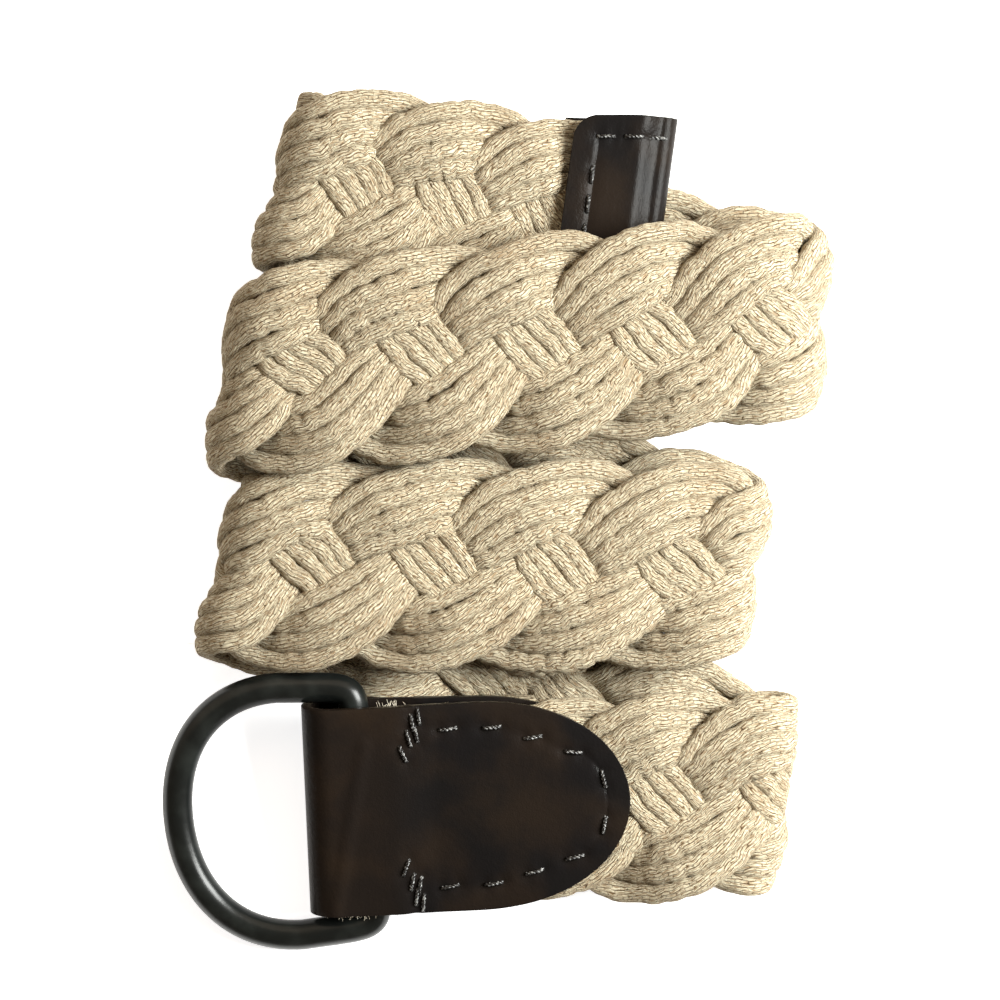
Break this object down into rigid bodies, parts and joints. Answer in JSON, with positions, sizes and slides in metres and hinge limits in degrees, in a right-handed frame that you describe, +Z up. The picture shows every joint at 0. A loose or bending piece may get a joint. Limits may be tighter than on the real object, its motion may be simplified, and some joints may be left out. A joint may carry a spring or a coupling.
{
  "type": "rope belt",
  "caption": "Braided cotton rope belt wound in a flattened coil, with a leather tab round a D ring and a leather end cap.",
  "frame": {"origin": "centre of the bounding box's base, on the table", "axes": "+Z up from the table, +Y up the picture from the ring end's row to the tip's row, +X to the picture's right"},
  "size_m": [0.1532, 0.1988, 0.0297],
  "materials": {
    "cotton": "matte braided cotton cord",
    "leather": "smooth dark leather, half gloss",
    "ring_metal": "glossy black finish on steel wire"
  },
  "bodies": {
    "belt": {"plait": "cotton", "ring_tab": "leather", "tip_cap": "leather"},
    "ring": {"d_ring": "ring_metal"}
  },
  "joints": [
    {"name": "ring_swing", "type": "hinge", "parent": "belt", "child": "ring", "pos_m": [-0.02989, -0.0656, 0.01127], "axis": [-0.0987, 0.9793, 0.1766], "range_deg": [0, 155]}
  ]
}
